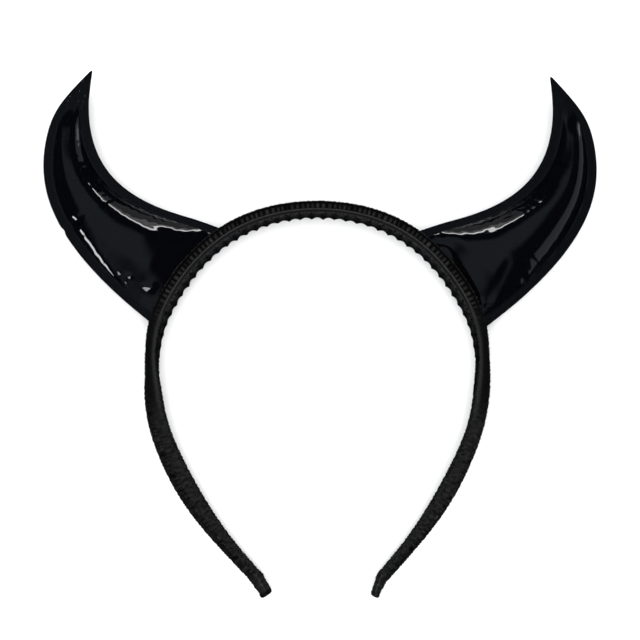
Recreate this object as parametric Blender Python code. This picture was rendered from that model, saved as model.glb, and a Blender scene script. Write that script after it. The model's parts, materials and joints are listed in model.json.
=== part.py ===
"""Devil horns headband: a ribbon-wound hoop with two stuffed vinyl horns.

It is modelled upright in its own plane first (X to the wearer's left, Y up to
the crown, Z to the front), and then laid on its back on the floor, where the
two horns and the two ends of the hoop carry it. Metres.
"""

import math
from collections import namedtuple

import bmesh
import bpy
import numpy as np
from mathutils import Matrix, Vector

# The hoop, along the middle of its section
HOOP_HALF_WIDTH = 0.0645  # at its widest
CROWN_RISE = 0.0672  # the crown above the widest point
LEG_DROP = 0.0772  # the ends of the hoop below the widest point
BAND_THICKNESS = 0.0064  # from the head outwards
BAND_DEPTH = 0.0110  # from front to back
BAND_CORNER = 0.0012  # rounding of the wound section
END_TWIST = math.radians(22.0)  # how much further each leg's end turns outwards
HOOP_STEP = 0.0036  # spacing of the sections

# The inner strip, pushed into points by the comb teeth under it
LINING_HALF_LENGTH = 0.0964  # each way from the crown
LINING_THICKNESS = 0.0010
LINING_TAPER = 0.0240  # the stretch over which each end thins out
LINING_END = 0.5  # share of the thickness and of the teeth left at the very end
LINING_INSET = 0.0008  # how far its edges stay back from the band's
TOOTH_HEIGHT = 0.0008
TOOTH_PITCH = 0.0047
TOOTH_STEPS = 5

# The folded ribbon at each end of the hoop
TIP_WRAP_LENGTH = 0.0078
TIP_WRAP_THICKNESS = 0.0030
TIP_WRAP_DEPTH = 0.0056
TIP_WRAP_CORNER = 0.0009

# The horns
HORN_SEAT_START = 0.0386  # along the hoop from the crown to a horn's upper corner
HORN_SEAT_LENGTH = 0.0443  # along the hoop between its two corners
HORN_LENGTH = 0.0839  # from the middle of the seat to the tip
HORN_TURN = math.radians(29.4)  # the tip leans this far in from straight out
HORN_TIP_WIDTH = 0.0008
HORN_BORDER = 0.0038  # the flat bonded edge
HORN_PUFF = 0.0085  # each face above its border, at the fullest
HORN_SEAT_INSET = 0.0010  # the seat stays this far inside the band's depth
PANEL_WALL = 0.0010
PADDING_LEAST_RISE = 0.0030  # no stuffing where a face stands less proud
BORDER_MOST = 0.40  # share of a section that one border may take
CLEARANCE = 0.0003  # between pieces that touch

HORN_ROWS = 20  # cells from seat to tip
HORN_PLACES = [row / HORN_ROWS for row in range(HORN_ROWS + 1)]
HORN_COLUMNS = 10  # cells across the stuffed part
FACE_FULLNESS = 2.4  # how flat the middle of a face is
FACE_SHOULDER = 0.8  # how steeply it leaves the border
SEAT_BEND_FADE = 3  # the power at which the seat's bend dies out towards the tip
FOLD_TAPER = 0.5  # how much of its depth a crease loses by its far end
SHALLOWEST_FOLD = 0.4  # share of a face's height that the deepest fold leaves

# across: share of HOOP_HALF_WIDTH; up: share of CROWN_RISE, or below zero of
# LEG_DROP; thickness and depth: shares of the band's; twist and spread: shares
# of each leg's own; end_twist: share of END_TWIST, the same in both legs
HoopSection = namedtuple("HoopSection", "across up thickness depth twist end_twist spread")
HOOP_SECTIONS = (
    HoopSection(0.000, 1.000, 0.72, 1.00, 0.0, 0.0, 0.0),
    HoopSection(0.524, 0.872, 0.81, 1.00, 0.0, 0.0, 0.0),
    HoopSection(0.850, 0.571, 0.83, 1.00, 0.0, 0.0, 0.0),
    HoopSection(0.978, 0.309, 0.79, 0.98, 0.0, 0.0, 0.0),
    HoopSection(0.999, 0.137, 0.72, 0.96, 0.0, 0.0, 0.0),
    HoopSection(0.995, -0.040, 0.94, 0.93, 0.4, 0.0, 0.0),
    HoopSection(0.963, -0.215, 0.95, 0.90, 0.8, 0.0, 0.0),
    HoopSection(0.876, -0.410, 0.99, 0.86, 1.0, 0.0, 0.0),
    HoopSection(0.750, -0.606, 0.93, 0.80, 0.9, 0.2, 0.2),
    HoopSection(0.577, -0.808, 0.64, 0.70, 0.6, 0.6, 0.6),
    HoopSection(0.377, -1.000, 0.44, 0.60, 0.4, 1.0, 1.0),
)

# along: share of each edge's own straight line from seat to tip; concave and
# convex: how far that edge bows from the line, as a share of its length;
# puff: share of HORN_PUFF
HornSection = namedtuple("HornSection", "along concave convex puff")
HORN_SECTIONS = (
    HornSection(0.00, 0.000, 0.000, None),
    HornSection(0.10, 0.061, 0.075, 0.80),
    HornSection(0.20, 0.128, 0.141, 0.97),
    HornSection(0.40, 0.226, 0.238, 1.00),
    HornSection(0.60, 0.249, 0.272, 0.84),
    HornSection(0.80, 0.178, 0.218, 0.34),
    HornSection(0.90, 0.103, 0.143, 0.00),
    HornSection(1.00, 0.000, 0.000, 0.00),
)

# A crease runs straight from its start to its end, each given as shares along
# the horn and across its stuffed part; reach: share of HORN_BORDER to each
# side; depth: share of HORN_PUFF
Fold = namedtuple("Fold", "start_along start_across end_along end_across reach depth")
HORN_FOLDS = (
    Fold(0.03, 0.93, 0.26, 0.74, 0.80, 0.20),
    Fold(0.05, 0.98, 0.20, 0.90, 0.60, 0.15),
    Fold(0.12, 0.20, 0.34, 0.14, 0.70, 0.09),
)

# sign: which way across; twist of the leg; spread: how far the leg's end stands
# out; wrap_turn: how far the folded end bends back towards straight down;
# seat_shift: how much further round the hoop the horn sits
Side = namedtuple("Side", "name sign twist spread wrap_turn seat_shift")
SIDES = (
    Side("left", -1, math.radians(20.0), -0.0008, math.radians(12.0), 0.0000),
    Side("right", 1, math.radians(9.0), 0.0008, math.radians(20.0), 0.0019),
)

# along: share of TIP_WRAP_LENGTH; thickness and depth: shares of the wrap's;
# lean: sideways, as a share of TIP_WRAP_THICKNESS
TipSection = namedtuple("TipSection", "along thickness depth lean")
TIP_SECTIONS = (
    TipSection(0.00, 1.00, 1.00, 0.00),
    TipSection(0.30, 1.04, 0.96, 0.03),
    TipSection(0.62, 0.92, 0.90, -0.02),
    TipSection(0.88, 1.00, 0.84, 0.04),
    TipSection(1.00, 0.72, 0.66, 0.10),
)

# colour: linear RGB
Finish = namedtuple("Finish", "name colour roughness coat")
RIBBON = Finish("grosgrain_ribbon", (0.010, 0.010, 0.011), 0.78, 0.0)
LINING = Finish("satin_lining", (0.006, 0.006, 0.007), 0.62, 0.0)
VINYL = Finish("glossy_vinyl", (0.008, 0.008, 0.011), 0.12, 1.0)
STUFFING = Finish("polyester_stuffing", (0.72, 0.72, 0.70), 0.95, 0.0)

FLOOR_TILT_MOST = math.radians(20.0)
BISECTIONS = 40


def clear_scene():
    for item in list(bpy.data.objects):
        bpy.data.objects.remove(item, do_unlink=True)


def natural_spline(knots, values, where):
    """The smooth curve through values at knots, read at each place in where."""
    x = np.asarray(knots, float)
    y = np.asarray(values, float)
    h = np.diff(x)
    slope = np.diff(y) / h
    system = np.eye(len(x))
    right = np.zeros(len(x))
    for i in range(1, len(x) - 1):
        system[i, i - 1 : i + 2] = h[i - 1], 2 * (h[i - 1] + h[i]), h[i]
        right[i] = 6 * (slope[i] - slope[i - 1])
    bend = np.linalg.solve(system, right)
    at = np.asarray(where, float)
    i = np.clip(np.searchsorted(x, at) - 1, 0, len(h) - 1)
    low, high = at - x[i], x[i + 1] - at
    return (
        (bend[i] * high**3 + bend[i + 1] * low**3) / (6 * h[i])
        + (y[i] / h[i] - bend[i] * h[i] / 6) * high
        + (y[i + 1] / h[i] - bend[i + 1] * h[i] / 6) * low
    )


class Hoop:
    """The hoop's sections, read at any distance along it from the crown."""

    FINENESS = 400  # samples between the two ends
    Station = namedtuple("Station", "middle outward through thickness depth")

    def __init__(self):
        left, right = SIDES
        rows = [self.section(left, row) for row in reversed(HOOP_SECTIONS)]
        rows += [self.section(right, row) for row in HOOP_SECTIONS[1:]]
        rows = np.array(rows)
        gaps = np.hypot(*np.diff(rows[:, :2], axis=0).T)
        knots = np.concatenate(([0.0], np.cumsum(gaps)))
        dense = np.linspace(0.0, knots[-1], self.FINENESS)
        *smooth, twist = rows.T
        self.columns = [natural_spline(knots, column, dense) for column in smooth]
        self.columns.append(np.interp(dense, knots, twist))
        x, y = self.columns[:2]
        run = np.concatenate(([0.0], np.cumsum(np.hypot(np.diff(x), np.diff(y)))))
        crown = np.interp(0.0, x, run)
        self.run = run - crown
        self.first, self.last = self.run[0], self.run[-1]

    @staticmethod
    def section(side, row):
        rise = CROWN_RISE if row.up > 0 else LEG_DROP
        return (
            side.sign * (row.across * HOOP_HALF_WIDTH + row.spread * side.spread),
            row.up * rise,
            row.thickness * BAND_THICKNESS,
            row.depth * BAND_DEPTH,
            row.twist * side.twist + row.end_twist * END_TWIST,
        )

    def at(self, distance):
        x, y, thickness, depth, twist = (
            np.interp(distance, self.run, column) for column in self.columns
        )
        ahead = [np.interp(distance + HOOP_STEP / 4, self.run, c) for c in self.columns[:2]]
        behind = [np.interp(distance - HOOP_STEP / 4, self.run, c) for c in self.columns[:2]]
        along = Vector((ahead[0] - behind[0], ahead[1] - behind[1], 0.0)).normalized()
        turn = Matrix.Rotation(twist, 3, along)
        outward = turn @ Vector((-along.y, along.x, 0.0))
        through = turn @ Vector((0.0, 0.0, 1.0))
        return self.Station(Vector((x, y, 0.0)), outward, through, thickness, depth)

    def outer(self, distance, gap):
        """A point clear of the band's outer face by gap."""
        station = self.at(distance)
        flat = Vector((station.outward.x, station.outward.y, 0.0)).normalized()
        return station.middle + flat * (station.thickness / 2 + gap)


def box_ring(middle, across, through, width, height, corner):
    """A rounded rectangle round middle, 12 points, in the plane of the two axes."""
    ring = []
    for quarter in range(4):
        for step in range(3):
            angle = math.radians(90 * quarter + 45 * step)
            flat_x = math.copysign(width / 2 - corner, math.cos(math.radians(90 * quarter + 45)))
            flat_y = math.copysign(height / 2 - corner, math.sin(math.radians(90 * quarter + 45)))
            x = flat_x + corner * math.cos(angle)
            y = flat_y + corner * math.sin(angle)
            ring.append(middle + across * x + through * y)
    return ring


def finish_material(finish, piece):
    material = bpy.data.materials.new(f"{finish.name}_{piece}")
    material.use_nodes = True
    shader = material.node_tree.nodes["Principled BSDF"]
    shader.inputs["Base Color"].default_value = (*finish.colour, 1.0)
    shader.inputs["Roughness"].default_value = finish.roughness
    shader.inputs["Metallic"].default_value = 0.0
    shader.inputs["Coat Weight"].default_value = finish.coat
    return material


def add_object(name, mesh, finish):
    made = bpy.data.objects.new(name, mesh)
    bpy.context.collection.objects.link(made)
    mesh.materials.append(finish_material(finish, name))
    mesh.shade_smooth()
    return made


def loft(name, rings):
    """A closed mesh through rings of the same even number of points.

    Each end is capped by a ladder of faces from one side of its ring to the other.
    The two halves of a ring are cut along mirrored diagonals, so that the inside of
    a wall and what lies under it have parallel facets.
    """
    shape = bmesh.new()
    rows = [[shape.verts.new(point) for point in ring] for ring in rings]
    count = len(rows[0])
    for low, high in zip(rows, rows[1:]):
        for i in range(count):
            j = (i + 1) % count
            if i < count // 2:
                halves = (low[i], low[j], high[j]), (low[i], high[j], high[i])
            else:
                halves = (low[i], low[j], high[i]), (low[j], high[j], high[i])
            for half in halves:
                shape.faces.new(half)
    for end in (rows[0], rows[-1]):
        for i in range(count // 2 - 1):
            j = count - 1 - i
            shape.faces.new((end[i], end[i + 1], end[j - 1], end[j]))
    bmesh.ops.recalc_face_normals(shape, faces=shape.faces)
    mesh = bpy.data.meshes.new(name)
    shape.to_mesh(mesh)
    shape.free()
    return mesh


def band_ring(station):
    """The band's rounded section, turned with the leg's twist."""
    size = station.thickness, station.depth
    return box_ring(station.middle, station.outward, station.through, *size, BAND_CORNER)


def make_band(hoop):
    count = math.ceil((hoop.last - hoop.first) / HOOP_STEP)
    places = np.linspace(hoop.first, hoop.last, count + 1)
    rings = [band_ring(hoop.at(place)) for place in places]
    return add_object("band", loft("band", rings), RIBBON)


def make_lining(hoop):
    teeth = round(2 * LINING_HALF_LENGTH / TOOTH_PITCH)
    rings = []
    for step in range(teeth * TOOTH_STEPS + 1):
        share = step / TOOTH_STEPS
        distance = (2 * share / teeth - 1) * LINING_HALF_LENGTH
        station = hoop.at(distance)
        from_end = min(1.0, (LINING_HALF_LENGTH - abs(distance)) / LINING_TAPER)
        left = LINING_END + (1 - LINING_END) * from_end
        point = 1 - abs(math.sin(math.pi * share))
        outer = -(station.thickness / 2 + CLEARANCE)
        inner = outer - left * (LINING_THICKNESS + TOOTH_HEIGHT * point)
        half = station.depth / 2 - LINING_INSET
        rings.append(
            [
                station.middle + station.outward * reach + station.through * height
                for reach, height in ((outer, half), (inner, half), (inner, -half), (outer, -half))
            ]
        )
    return add_object("band_lining", loft("band_lining", rings), LINING)


def make_tip_wrap(hoop, side):
    end = hoop.at(hoop.first if side.sign < 0 else hoop.last)
    down = side.sign * end.outward.cross(end.through)
    turn = Matrix.Rotation(side.sign * side.wrap_turn, 3, end.through)
    direction = turn @ down
    across = turn @ end.outward
    start = end.middle + down * (CLEARANCE + TIP_WRAP_THICKNESS / 2 * math.sin(side.wrap_turn))
    rings = []
    for row in TIP_SECTIONS:
        middle = start + direction * (row.along * TIP_WRAP_LENGTH)
        middle += across * (row.lean * TIP_WRAP_THICKNESS)
        width = row.thickness * TIP_WRAP_THICKNESS
        height = row.depth * TIP_WRAP_DEPTH
        rings.append(box_ring(middle, across, end.through, width, height, TIP_WRAP_CORNER))
    name = f"{side.name}_tip_wrap"
    return add_object(name, loft(name, rings), RIBBON)


class Horn:
    """One crescent: its outline on the band, and how far each face stands out."""

    def __init__(self, hoop, side):
        self.hoop = hoop
        self.side = side
        middle = self.seat_point(0.5)
        out = hoop.at(self.seat(0.5)).outward
        reach = Matrix.Rotation(side.sign * HORN_TURN, 3, "Z") @ out
        square = side.sign * reach.cross(Vector((0, 0, 1)))
        tip = middle + reach * HORN_LENGTH
        half = square * (HORN_TIP_WIDTH / 2)
        self.concave = (self.seat_point(0.0), tip - half)
        self.convex = (self.seat_point(1.0), tip + half)
        rises = [row.puff for row in HORN_SECTIONS]
        depth = hoop.at(self.seat(0.5)).depth
        self.border_rise = CLEARANCE / 2 + PANEL_WALL
        seat_rise = depth / 2 - HORN_SEAT_INSET - self.border_rise
        self.rises = [seat_rise] + [HORN_PUFF * share for share in rises[1:]]
        self.knots = [row.along for row in HORN_SECTIONS]

    def seat(self, across):
        """How far round the hoop from the crown a place on the seat lies."""
        start = HORN_SEAT_START + self.side.seat_shift
        return self.side.sign * (start + across * HORN_SEAT_LENGTH)

    def seat_point(self, across):
        return self.hoop.outer(self.seat(across), CLEARANCE)

    def column(self, name, along):
        values = [getattr(row, name) for row in HORN_SECTIONS]
        return float(natural_spline(self.knots, values, along))

    def edge_point(self, name, along):
        start, end = getattr(self, name)
        line = end - start
        aside = self.side.sign * line.cross(Vector((0, 0, 1)))
        return start + line * along + aside * self.column(name, along)

    def point(self, along, across):
        """A place on the horn's middle plane; the seat's bend fades out along it."""
        chord = self.edge_point("concave", along).lerp(self.edge_point("convex", along), across)
        seat_chord = self.seat_point(0.0).lerp(self.seat_point(1.0), across)
        bend = self.seat_point(across) - seat_chord
        return chord + bend * (1 - along) ** SEAT_BEND_FADE

    def border_share(self, along):
        width = (self.edge_point("convex", along) - self.edge_point("concave", along)).length
        return min(HORN_BORDER / width, BORDER_MOST)

    def stuffed_point(self, along, share):
        border = self.border_share(along)
        return self.point(along, border + (1 - 2 * border) * share)

    def rise(self, along):
        return max(0.0, float(np.interp(along, self.knots, self.rises)))

    def fold_depth(self, place):
        deepest = 0.0
        for fold in HORN_FOLDS:
            start = self.stuffed_point(fold.start_along, fold.start_across)
            end = self.stuffed_point(fold.end_along, fold.end_across)
            line = end - start
            share = min(1.0, max(0.0, (place - start).dot(line) / line.length_squared))
            away = (place - start - line * share).length
            reach = fold.reach * HORN_BORDER
            taper = 1 - FOLD_TAPER * share
            deepest = max(deepest, fold.depth * taper * math.exp(-((away / reach) ** 2)))
        return deepest * HORN_PUFF

    def face_height(self, along, share, place):
        """The outer face above the middle plane, share of the way across the stuffing."""
        bow = (1 - abs(2 * share - 1) ** FACE_FULLNESS) ** FACE_SHOULDER
        stand = self.rise(along) * bow
        return self.border_rise + max(stand * SHALLOWEST_FOLD, stand - self.fold_depth(place))

    def profile(self, along):
        """One section of the outer front face, border to border: places across, heights."""
        border = self.border_share(along)
        steps = [(1 - math.cos(math.pi * k / HORN_COLUMNS)) / 2 for k in range(HORN_COLUMNS + 1)]
        across = [0.0] + [border + (1 - 2 * border) * share for share in steps] + [1.0]
        heights = [self.border_rise]
        for share in steps:
            heights.append(self.face_height(along, share, self.stuffed_point(along, share)))
        heights.append(self.border_rise)
        return across, heights

    def inset_profile(self, along, depth):
        """The same section sunk by depth, each point sliding only within its section."""
        across, heights = self.profile(along)
        places = [self.point(along, share) for share in across]
        steps = [(b - a).length for a, b in zip(places, places[1:])]
        run = np.concatenate(([0.0], np.cumsum(steps)))
        legs = np.column_stack((np.diff(run), np.diff(heights)))
        normals = np.column_stack((-legs[:, 1], legs[:, 0]))
        normals /= np.linalg.norm(normals, axis=1)[:, None]
        mean = normals[:-1] + normals[1:]
        mean /= np.maximum(1.0, (mean**2).sum(axis=1) / 2)[:, None]
        sunk = np.column_stack((run, heights)) - np.array((0.0, depth))
        sunk[1:-1] = np.column_stack((run, heights))[1:-1] - mean * depth
        heights = np.maximum(sunk[:, 1], CLEARANCE / 2)
        return list(np.interp(sunk[:, 0], run, across)), list(heights)

    def line(self, along, profile):
        """A section's points in space."""
        return [self.point(along, a) + Vector((0, 0, z)) for a, z in zip(*profile)]


def mirrored(points):
    return [Vector((point.x, point.y, -point.z)) for point in points]


def make_panel(horn, face_name):
    """One vinyl face, its wall inside the outer surface and its border flat."""
    rings = []
    for along in HORN_PLACES:
        outer = horn.line(along, horn.profile(along))
        inner = horn.line(along, horn.inset_profile(along, PANEL_WALL))
        ring = outer + inner[::-1]
        rings.append(ring if face_name == "front" else mirrored(ring))
    name = f"{horn.side.name}_horn_{face_name}_panel"
    return add_object(name, loft(name, rings), VINYL)


def make_padding(horn):
    """The stuffing, clear of both panels, as far as the faces stand proud of it."""
    rings = []
    for along in HORN_PLACES:
        if horn.rise(along) < PADDING_LEAST_RISE:
            break
        profile = horn.inset_profile(along, PANEL_WALL + CLEARANCE)
        upper = horn.line(along, profile)[2:-2]
        rings.append(upper + mirrored(upper)[::-1])
    name = f"{horn.side.name}_horn_padding"
    return add_object(name, loft(name, rings), STUFFING)


def evaluated_points(pieces):
    view = bpy.context.evaluated_depsgraph_get()
    points = []
    for piece in pieces:
        mesh = piece.evaluated_get(view).to_mesh()
        points += [vert.co.copy() for vert in mesh.vertices]
    return np.array(points)


def lay_on_floor(pieces):
    """Parents the pieces to an empty that lays them as they rest by themselves."""
    points = evaluated_points(pieces)
    low, high = 0.0, FLOOR_TILT_MOST
    for _ in range(BISECTIONS):
        tilt = (low + high) / 2
        heights = points[:, 1] * math.sin(tilt) + points[:, 2] * math.cos(tilt)
        if points[np.argmin(heights), 1] > 0:
            low = tilt
        else:
            high = tilt
    turn = np.array(Matrix.Rotation(tilt, 3, "X"))
    laid = points @ turn.T
    least, most = laid.min(axis=0), laid.max(axis=0)
    rest = bpy.data.objects.new("headband_rest", None)
    bpy.context.collection.objects.link(rest)
    rest.rotation_euler = (tilt, 0.0, 0.0)
    rest.location = (-(least[0] + most[0]) / 2, -(least[1] + most[1]) / 2, -least[2])
    for piece in pieces:
        piece.parent = rest


def main():
    clear_scene()
    hoop = Hoop()
    pieces = [make_band(hoop), make_lining(hoop)]
    for side in SIDES:
        horn = Horn(hoop, side)
        pieces.append(make_tip_wrap(hoop, side))
        pieces.append(make_panel(horn, "front"))
        pieces.append(make_panel(horn, "back"))
        pieces.append(make_padding(horn))
    lay_on_floor(pieces)


main()
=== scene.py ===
"""A devil horns headband, dressed over its CAD frame.

Two stuffed horns of patent vinyl sit on a hoop wound with grosgrain ribbon. Each
piece is modelled in the headband's own upright plane (X across, Y up to the
crown, Z to the front) and then laid on its back on the floor, as the CAD solids
lie. Metres and radians, unless a name says otherwise.
"""

import json
import logging
import math
from collections.abc import Callable
from dataclasses import dataclass, field
from enum import Enum

import bpy
import numpy as np
from mathutils import Matrix, Vector


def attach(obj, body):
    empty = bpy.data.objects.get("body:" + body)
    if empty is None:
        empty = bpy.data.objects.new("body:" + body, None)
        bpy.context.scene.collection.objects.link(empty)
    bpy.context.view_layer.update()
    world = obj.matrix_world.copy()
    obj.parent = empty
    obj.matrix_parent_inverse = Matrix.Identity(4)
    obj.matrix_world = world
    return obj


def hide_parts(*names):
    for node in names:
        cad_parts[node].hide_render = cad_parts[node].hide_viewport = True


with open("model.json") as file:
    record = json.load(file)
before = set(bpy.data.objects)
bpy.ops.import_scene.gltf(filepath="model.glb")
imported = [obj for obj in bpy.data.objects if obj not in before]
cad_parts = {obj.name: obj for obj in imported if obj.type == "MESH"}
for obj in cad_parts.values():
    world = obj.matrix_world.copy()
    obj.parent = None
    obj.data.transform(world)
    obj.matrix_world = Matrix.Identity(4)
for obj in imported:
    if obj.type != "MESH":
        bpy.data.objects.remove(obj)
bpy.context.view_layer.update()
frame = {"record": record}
LOG = logging.getLogger("headband")

MM = 0.001
HEAD_SEAT_RISE = 0.0636  # the lining's face at the crown, above the hoop's centre
SAME_POINT = 1e-6  # points nearer than this are one
LIFT_FALLOFF = 4  # power by which a lift fades from a section's front to its middle

# a surface's points, or a number on it, for places along and across counted in cells
Surface = Callable[[np.ndarray, np.ndarray], np.ndarray]


class Side(Enum):
    """One side of the headband, as the front view shows it."""

    LEFT = "left"
    RIGHT = "right"

    @property
    def sign(self) -> int:
        """Which way along X the side lies."""
        return -1 if self is Side.LEFT else 1


class Face(Enum):
    """One face of a horn."""

    FRONT = "front"
    BACK = "back"

    @property
    def sign(self) -> int:
        """Which way along Z the face looks."""
        return 1 if self is Face.FRONT else -1


class Seen(Enum):
    """What a studio light does: it lights surfaces, or it only shows in gloss."""

    LIGHTS = "lights"
    MIRRORED = "mirrored"


def lying() -> Matrix:
    """Works out how the headband lies from two of the frame's mounts.

    Returns:
        The matrix from the headband's own upright plane to the row frame.
    """
    mounts = {mount["name"]: mount for mount in frame["record"]["mounts"]}
    axis = mounts["left_horn_border"]["axis"]
    turn = Matrix.Rotation(math.atan2(-axis[1], axis[2]), 4, "X")
    seat = Vector(mounts["head_seat"]["pos_m"])
    return Matrix.Translation(seat - turn @ Vector((0.0, HEAD_SEAT_RISE, 0.0))) @ turn


LYING = lying()


def natural_spline(knots: np.ndarray, values: np.ndarray, where: np.ndarray) -> np.ndarray:
    """Reads the smooth curve through values at knots.

    Args:
        knots: rising places of the values.
        values: what the curve is there.
        where: the places to read.

    Returns:
        The curve at each place.
    """
    x = np.asarray(knots, float)
    y = np.asarray(values, float)
    h = np.diff(x)
    slope = np.diff(y) / h
    system = np.eye(len(x))
    right = np.zeros(len(x))
    for i in range(1, len(x) - 1):
        system[i, i - 1 : i + 2] = h[i - 1], 2 * (h[i - 1] + h[i]), h[i]
        right[i] = 6 * (slope[i] - slope[i - 1])
    bend = np.linalg.solve(system, right)
    at = np.asarray(where, float)
    i = np.clip(np.searchsorted(x, at) - 1, 0, len(h) - 1)
    low, high = at - x[i], x[i + 1] - at
    return (
        (bend[i] * high**3 + bend[i + 1] * low**3) / (6 * h[i])
        + (y[i] / h[i] - bend[i] * h[i] / 6) * high
        + (y[i + 1] / h[i] - bend[i + 1] * h[i] / 6) * low
    )


def steady_curve(knots: np.ndarray, values: np.ndarray, where: np.ndarray) -> np.ndarray:
    """Reads a smooth curve through values that never swings past them.

    Args:
        knots: rising places of the values.
        values: what the curve is there.
        where: the places to read.

    Returns:
        The curve at each place.
    """
    x = np.asarray(knots, float)
    y = np.asarray(values, float)
    h = np.diff(x)
    slope = np.diff(y) / h
    tangent = np.concatenate((slope[:1], np.zeros(len(x) - 2), slope[-1:]))
    for i in range(1, len(x) - 1):
        if slope[i - 1] * slope[i] > 0:
            tangent[i] = 2 * slope[i - 1] * slope[i] / (slope[i - 1] + slope[i])
    at = np.clip(np.asarray(where, float), x[0], x[-1])
    i = np.clip(np.searchsorted(x, at) - 1, 0, len(h) - 1)
    t = (at - x[i]) / h[i]
    return (
        (1 + 2 * t) * (1 - t) ** 2 * y[i]
        + t * (1 - t) ** 2 * h[i] * tangent[i]
        + t * t * (3 - 2 * t) * y[i + 1]
        - t * t * (1 - t) * h[i] * tangent[i + 1]
    )


def ripple(
    run: np.ndarray, pitches: tuple[float, ...], phase: float | np.ndarray
) -> np.ndarray:
    """Sums sines of unlike pitches into an uneven wave between -1 and 1.

    Args:
        run: where to read the wave.
        pitches: the length of each sine.
        phase: shifts the sines, so that no two places look alike.

    Returns:
        The wave at each place.
    """
    waves = [np.sin(2 * np.pi * run / pitch + phase * (i + 1)) for i, pitch in enumerate(pitches)]
    return sum(waves) / len(waves)


def fade(value: np.ndarray, start: float, end: float) -> np.ndarray:
    """Goes smoothly from 0 at start to 1 at end."""
    share = np.clip((value - start) / (end - start), 0.0, 1.0)
    return share * share * (3 - 2 * share)


def pick(*pieces: bpy.types.Object) -> None:
    """Selects only these pieces, if any, so that an operator acts on nothing else."""
    bpy.ops.object.select_all(action="DESELECT")
    for piece in pieces:
        piece.select_set(True)
        bpy.context.view_layer.objects.active = piece


def in_edit_mode(piece: bpy.types.Object, *steps: Callable[[], object]) -> None:
    """Runs operators on all of a piece in edit mode.

    Args:
        piece: the piece, which becomes the active one.
        steps: the operators, in order.
    """
    pick(piece)
    bpy.ops.object.mode_set(mode="EDIT")
    for step in steps:
        bpy.ops.mesh.select_all(action="SELECT")
        step()
    bpy.ops.object.mode_set(mode="OBJECT")


def apply_modifier(piece: bpy.types.Object, kind: str, **settings: object) -> None:
    """Adds a modifier to a piece and applies it.

    Args:
        piece: the piece.
        kind: the modifier's type.
        settings: its settings.
    """
    pick(piece)
    modifier = piece.modifiers.new(kind.title(), kind)
    for name, value in settings.items():
        setattr(modifier, name, value)
    bpy.ops.object.modifier_apply(modifier=modifier.name)


def laid_grid(
    name: str, cells: tuple[int, int], surface: Surface, cloth: tuple[float, float]
) -> bpy.types.Object:
    """Adds a flat grid and lays its points on a surface.

    Args:
        name: the piece's name.
        cells: how many cells the grid has along and across.
        surface: the points for places along and across, both counted in cells.
        cloth: the flat sheet's length and width, for the UV map.

    Returns:
        The new piece, in the row frame.
    """
    pick()
    bpy.ops.mesh.primitive_grid_add(x_subdivisions=cells[0], y_subdivisions=cells[1], size=2.0)
    piece = bpy.context.object
    piece.name = piece.data.name = name
    flat = np.empty(len(piece.data.vertices) * 3, np.float32)
    piece.data.vertices.foreach_get("co", flat)
    flat = (flat.reshape(-1, 3) + 1.0) / 2.0
    along = np.rint(flat[:, 0] * cells[0])
    across = np.rint(flat[:, 1] * cells[1])
    points = surface(along, across)
    piece.data.vertices.foreach_set("co", points.astype(np.float32).ravel())
    corners = piece.data.uv_layers.active.data
    places = np.empty(len(corners) * 2, np.float32)
    corners.foreach_get("uv", places)
    places = places.reshape(-1, 2) * np.array(cloth, np.float32)
    corners.foreach_set("uv", places.ravel())
    piece.data.transform(LYING)
    piece.data.update()
    return piece


def add_attribute(piece: bpy.types.Object, name: str, values: np.ndarray) -> None:
    """Keeps one number for each point of a piece, for its material to read."""
    attribute = piece.data.attributes.new(name, "FLOAT", "POINT")
    attribute.data.foreach_set("value", np.asarray(values, np.float32))


def cell_places(cells: tuple[int, int]) -> tuple[np.ndarray, np.ndarray]:
    """The places along and across of a grid's points, in the grid's own order."""
    across, along = np.mgrid[0 : cells[1] + 1, 0 : cells[0] + 1]
    return along.ravel().astype(float), across.ravel().astype(float)


def smooth_by_angle(piece: bpy.types.Object, degrees: float) -> None:
    """Shades a piece smooth, apart from edges that turn by more than the angle."""
    pick(piece)
    bpy.ops.object.shade_smooth_by_angle(angle=math.radians(degrees))


def rolled_grid(
    name: str,
    cells: tuple[int, int],
    surface: Surface,
    cloth: tuple[float, float],
    degrees: float,
    **attributes: Surface,
) -> bpy.types.Object:
    """Lays a grid on a surface that closes round itself, and makes it one closed body.

    Args:
        name: the piece's name.
        cells: how many cells the grid has along and round.
        surface: the points for places along and round, both counted in cells.
        cloth: the flat sheet's length and width, for the UV map.
        degrees: edges that turn by more stay sharp.
        attributes: for each number that the points keep, what it is at those places.

    Returns:
        The new piece, in the row frame.
    """
    piece = laid_grid(name, cells, surface, cloth)
    for key, values in attributes.items():
        add_attribute(piece, key, values(*cell_places(cells)))
    in_edit_mode(
        piece,
        lambda: bpy.ops.mesh.remove_doubles(threshold=SAME_POINT),
        lambda: bpy.ops.mesh.fill_holes(sides=0),
        lambda: bpy.ops.mesh.normals_make_consistent(inside=False),
    )
    smooth_by_angle(piece, degrees)
    return piece


def settle(
    piece: bpy.types.Object, finish: bpy.types.Material, slot: str, *nodes: str
) -> None:
    """Dresses a finished piece and puts it in its CAD nodes' place.

    Args:
        piece: the finished piece.
        finish: its material.
        slot: the record's material slot; not used.
        nodes: the CAD nodes that it stands for.
    """
    piece.data.materials.clear()
    piece.data.materials.append(finish)
    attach(piece, "root")
    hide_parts(*nodes)
    LOG.info("%s: %d faces, stands for %s", piece.name, len(piece.data.polygons), ", ".join(nodes))


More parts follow.
